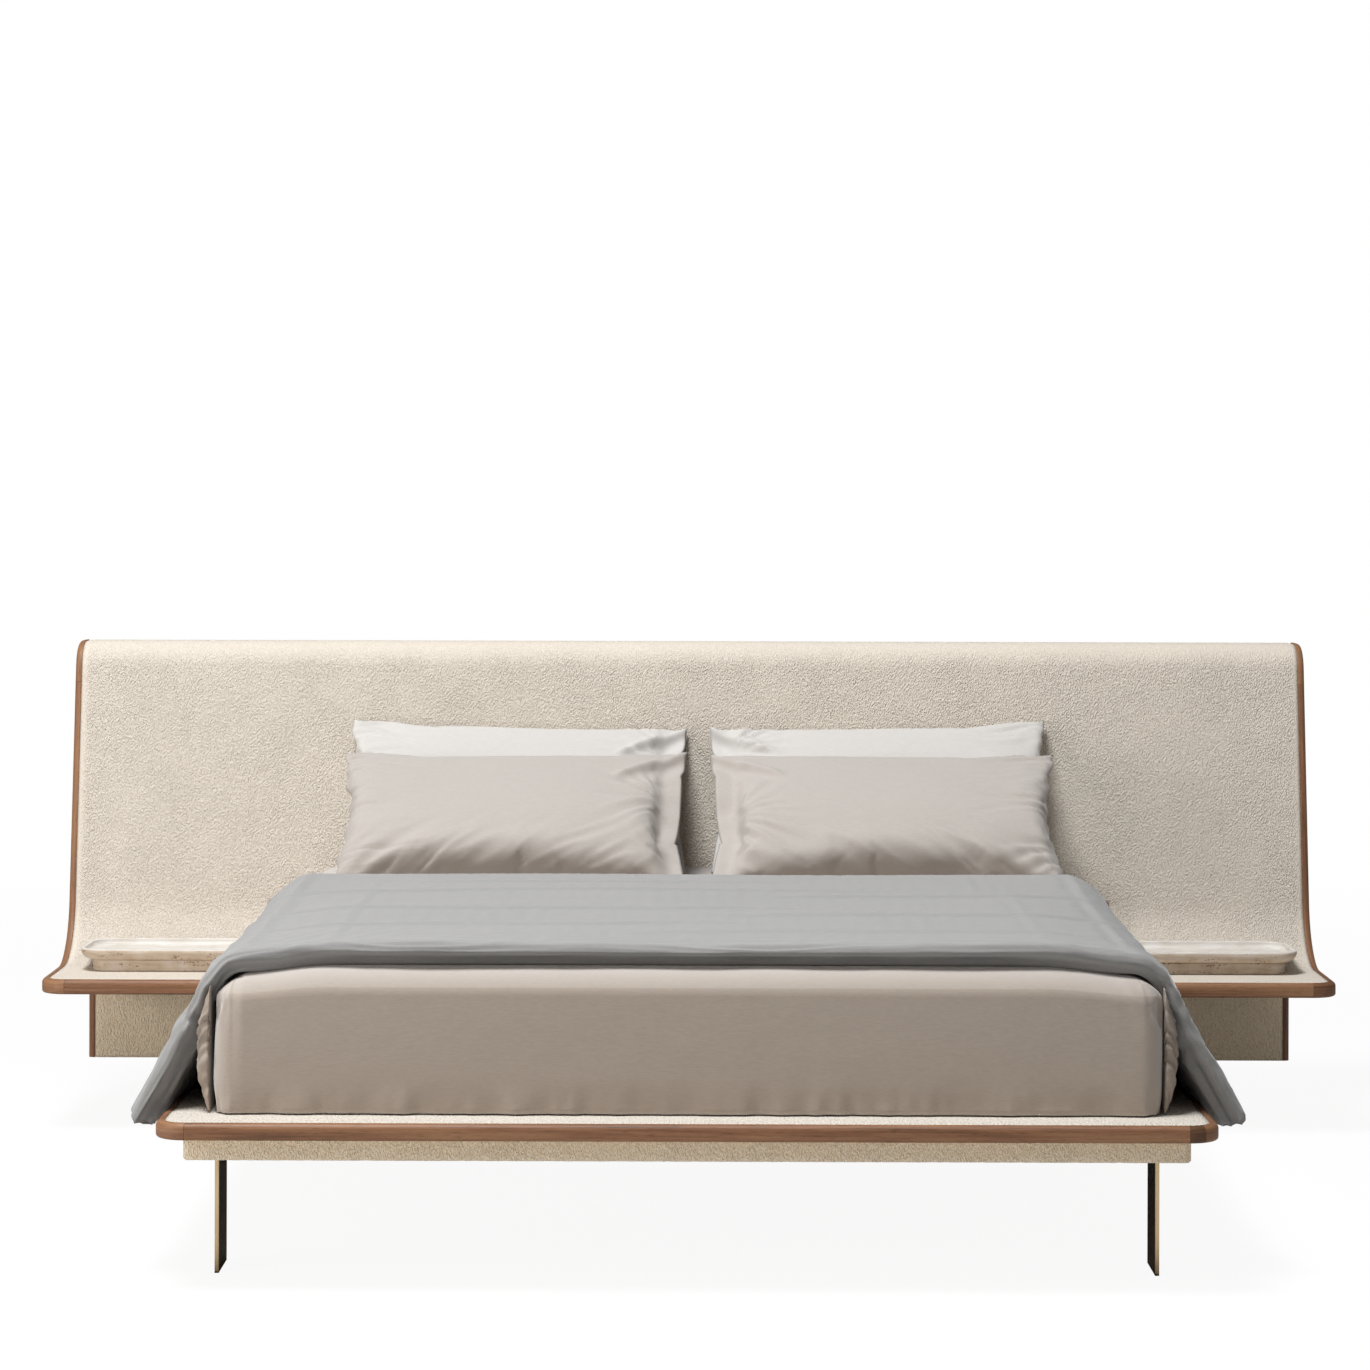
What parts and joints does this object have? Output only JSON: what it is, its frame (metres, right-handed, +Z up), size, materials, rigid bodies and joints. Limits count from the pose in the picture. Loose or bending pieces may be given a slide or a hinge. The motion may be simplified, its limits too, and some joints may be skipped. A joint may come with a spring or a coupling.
{
  "type": "bed with built-in trays",
  "caption": "Upholstered platform bed with a wide curved headboard whose side wings form shelves with stone trays, edged in wood, on thin metal blade legs, with bedding.",
  "frame": {"origin": "on the floor, in the middle of the bed's overall width and depth", "axes": "+X to the right of someone at the foot end facing the bed, +Y towards the head end, +Z up"},
  "size_m": [3.02, 2.33, 1.1307],
  "materials": {
    "boucle": "cream looped bouclé",
    "edge_wood": "satin brown oiled",
    "plywood": "raw",
    "solid_pine": "raw",
    "beech_slat": "clear lacquer",
    "lining_cloth": "flat woven",
    "deck_fabric": "flat woven",
    "travertine": "honed, pitted",
    "bronze": "brushed, darkened",
    "zinc_steel": "zinc plated",
    "rubber_cap": "matte",
    "nylon_glide": "matte",
    "mattress_ticking": "quilted",
    "taupe_sheet": "matte washed cotton",
    "grey_duvet": "matte washed cotton",
    "greige_pillow": "matte washed cotton",
    "white_pillow": "matte washed cotton"
  },
  "bodies": {
    "bed": {"apron_front": "boucle", "apron_left": "boucle", "apron_right": "boucle", "centre_beam": "solid_pine", "centre_leg": "zinc_steel", "corner_blocks": "solid_pine", "deck_board_front": "plywood", "deck_board_rear": "plywood", "deck_corners": "edge_wood", "deck_pad_front": "deck_fabric", "deck_side_boards": "plywood", "deck_side_pads": "deck_fabric", "deck_strip_front": "edge_wood", "deck_strip_left": "edge_wood", "deck_strip_right": "edge_wood", "duvet": "grey_duvet", "fitted_sheet": "taupe_sheet", "floor_glides": "nylon_glide", "headboard_core": "plywood", "headboard_feet": "solid_pine", "headboard_lining": "lining_cloth", "headboard_pad": "boucle", "inner_strips": "edge_wood", "leg_front_left": "bronze", "leg_front_right": "bronze", "leg_screws": "zinc_steel", "lip_corners": "edge_wood", "lip_strip_left": "edge_wood", "lip_strip_right": "edge_wood", "mattress": "mattress_ticking", "panel_core": "plywood", "panel_edges": "edge_wood", "panel_front_cover": "boucle", "panel_spacers": "plywood", "rail_brackets": "zinc_steel", "rear_legs": "bronze", "sheet_fold_left": "taupe_sheet", "sheet_fold_right": "taupe_sheet", "side_strip_left": "edge_wood", "side_strip_right": "edge_wood", "slat_caps": "rubber_cap", "slat_ledges": "solid_pine", "slats": "beech_slat", "top_strip_left": "edge_wood", "top_strip_right": "edge_wood", "tray_foot_left": "travertine", "tray_foot_right": "travertine", "tray_pegs": "zinc_steel", "wing_core_left": "plywood", "wing_core_right": "plywood", "wing_gussets": "plywood", "wing_linings": "lining_cloth", "wing_pad_left": "boucle", "wing_pad_right": "boucle"},
    "tray_bowl_left": {"tray_bowl_left": "travertine"},
    "tray_bowl_right": {"tray_bowl_right": "travertine"},
    "pillow_front_left": {"pillow_front_left": "greige_pillow"},
    "pillow_front_right": {"pillow_front_right": "greige_pillow"},
    "pillow_back_left": {"pillow_back_left": "white_pillow"},
    "pillow_back_right": {"pillow_back_right": "white_pillow"}
  },
  "joints": [
    {"name": "tray_bowl_left_lift", "type": "slide", "parent": "bed", "child": "tray_bowl_left", "axis": [0, 0, 1], "range_m": [0, 0.15]},
    {"name": "tray_bowl_right_lift", "type": "slide", "parent": "bed", "child": "tray_bowl_right", "axis": [0, 0, 1], "range_m": [0, 0.15]},
    {"name": "pillow_front_left_lift", "type": "slide", "parent": "bed", "child": "pillow_front_left", "axis": [0, 0, 1], "range_m": [0, 0.3]},
    {"name": "pillow_front_right_lift", "type": "slide", "parent": "bed", "child": "pillow_front_right", "axis": [0, 0, 1], "range_m": [0, 0.3]},
    {"name": "pillow_back_left_pull", "type": "slide", "parent": "bed", "child": "pillow_back_left", "axis": [-1, 0, 0], "range_m": [0, 0.18]},
    {"name": "pillow_back_right_pull", "type": "slide", "parent": "bed", "child": "pillow_back_right", "axis": [1, 0, 0], "range_m": [0, 0.18]}
  ]
}
